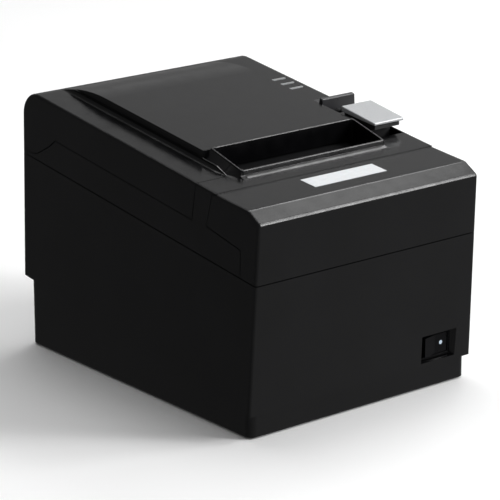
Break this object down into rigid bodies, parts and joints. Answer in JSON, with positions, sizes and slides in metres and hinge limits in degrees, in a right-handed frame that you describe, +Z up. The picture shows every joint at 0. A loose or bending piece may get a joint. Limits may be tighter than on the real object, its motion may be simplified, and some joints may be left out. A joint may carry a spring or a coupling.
{
  "type": "receipt printer",
  "caption": "Desktop thermal receipt printer: drafted box case with sloped top, rear-hinged lid over the paper bay, rimmed paper exit, open lever and power rocker.",
  "frame": {"origin": "middle of the surface that the printer stands on", "axes": "+X to the printer's right, +Y to its rear, +Z up"},
  "size_m": [0.148, 0.1972, 0.1417],
  "materials": {
    "case_black": "moulded satin black",
    "inner_black": "moulded matt black",
    "rubber": "matt",
    "platen_rubber": "ground satin",
    "label": "printed satin film, left blank",
    "light_pipe": "frosted clear",
    "circuit_board": "solder mask",
    "lever_silver": "silver paint",
    "lever_grey": "satin",
    "button_grey": "satin",
    "rocker_black": "semi-gloss",
    "mark_white": "printed",
    "zinc_steel": "zinc plated sheet",
    "bright_steel": "bright",
    "blade_steel": "ground",
    "motor_steel": "nickel plated can",
    "nylon": "natural nylon",
    "brass": "machined",
    "ceramic": "glazed strip",
    "heat_sink": "extruded",
    "socket_plastic": "satin",
    "socket_metal": "tin plated"
  },
  "bodies": {
    "frame": {"base_tray": "case_black", "rubber_feet": "rubber", "base_screws": "bright_steel", "lower_case": "case_black", "upper_case": "case_black", "front_bezel": "case_black", "name_plate": "label", "light_pipes": "light_pipe", "control_board": "circuit_board", "hinge_pins": "bright_steel", "hinge_bracket_left": "zinc_steel", "hinge_bracket_right": "zinc_steel", "chassis": "zinc_steel", "roll_bucket": "inner_black", "near_end_sensor": "inner_black", "head_pivot_pin": "bright_steel", "head_springs": "bright_steel", "idler_axle": "bright_steel", "stepper_motor": "motor_steel", "cutter_housing": "inner_black", "cutter_motor": "motor_steel", "lever_pivot_pin": "bright_steel", "power_switch_body": "inner_black", "rocker_pin": "bright_steel", "main_board": "circuit_board", "power_socket": "socket_plastic", "drawer_socket": "socket_plastic", "usb_socket": "socket_metal", "serial_socket": "socket_metal", "connector_panel": "zinc_steel"},
    "lid": {"lid_shell": "case_black", "lid_liner": "inner_black", "platen_bracket": "zinc_steel", "fixed_blade": "blade_steel", "platen_bushes": "nylon"},
    "platen": {"platen_shaft": "bright_steel", "platen_roller": "platen_rubber", "platen_gear": "nylon"},
    "idler": {"idler_gear": "nylon"},
    "pinion": {"motor_pinion": "brass"},
    "print_head": {"thermal_head": "ceramic", "head_heat_sink": "heat_sink"},
    "cutter_blade": {"moving_blade": "blade_steel"},
    "cutter_drive": {"cutter_pinion": "nylon"},
    "latch": {"latch_hooks": "zinc_steel"},
    "open_lever": {"open_lever_cap": "lever_silver", "open_lever_body": "lever_grey"},
    "feed_button": {"feed_button": "button_grey"},
    "power_rocker": {"power_rocker": "rocker_black", "rocker_mark": "mark_white"}
  },
  "joints": [
    {"name": "lid_hinge", "type": "hinge", "parent": "frame", "child": "lid", "pos_m": [0, 0.0899, 0.122], "axis": [-1, 0, 0], "range_deg": [0, 90]},
    {"name": "platen_spin", "type": "hinge", "parent": "lid", "child": "platen", "pos_m": [0, -0.0369, 0.1], "axis": [1, 0, 0], "continuous": true},
    {"name": "idler_spin", "type": "hinge", "parent": "frame", "child": "idler", "pos_m": [-0.056, -0.03252, 0.07478], "axis": [1, 0, 0], "continuous": true},
    {"name": "pinion_spin", "type": "hinge", "parent": "frame", "child": "pinion", "pos_m": [-0.056, -0.04723, 0.06007], "axis": [1, 0, 0], "continuous": true},
    {"name": "head_pivot", "type": "hinge", "parent": "frame", "child": "print_head", "pos_m": [0, -0.04453, 0.08548], "axis": [1, 0, 0], "range_deg": [0, 3], "stiffness_Nm_per_rad": 1, "springref_deg": -2.86, "deforming": ["head_springs"]},
    {"name": "cutter_slide", "type": "slide", "parent": "frame", "child": "cutter_blade", "axis": [0, 1, 0], "range_m": [0, 0.005]},
    {"name": "cutter_drive_spin", "type": "hinge", "parent": "frame", "child": "cutter_drive", "pos_m": [-0.03, -0.07, 0.108], "axis": [0, 0, 1], "range_deg": [0, 73]},
    {"name": "open_lever_press", "type": "hinge", "parent": "frame", "child": "open_lever", "pos_m": [0.06, -0.01, 0.117], "axis": [1, 0, 0], "range_deg": [0, 5], "stiffness_Nm_per_rad": 0.6, "springref_deg": -2.86},
    {"name": "latch_swing", "type": "hinge", "parent": "frame", "child": "latch", "pos_m": [0, -0.052, 0.08], "axis": [1, 0, 0], "range_deg": [0, 8.5]},
    {"name": "feed_button_press", "type": "slide", "parent": "frame", "child": "feed_button", "axis": [0, 0, -1], "range_m": [0, 0.001], "stiffness_N_per_m": 400, "springref_m": -0.0005},
    {"name": "power_rocker_tilt", "type": "hinge", "parent": "frame", "child": "power_rocker", "pos_m": [0.0503, -0.08762, 0.0224], "axis": [0, 0, 1], "range_deg": [-14, 0]}
  ],
  "couplings": [
    {"joint": "idler_spin", "follows": "platen_spin", "ratio": -0.6},
    {"joint": "pinion_spin", "follows": "platen_spin", "ratio": 2},
    {"joint": "cutter_drive_spin", "follows": "cutter_slide", "rad_per_m": 250},
    {"joint": "latch_swing", "follows": "open_lever_press", "ratio": 1.6}
  ]
}
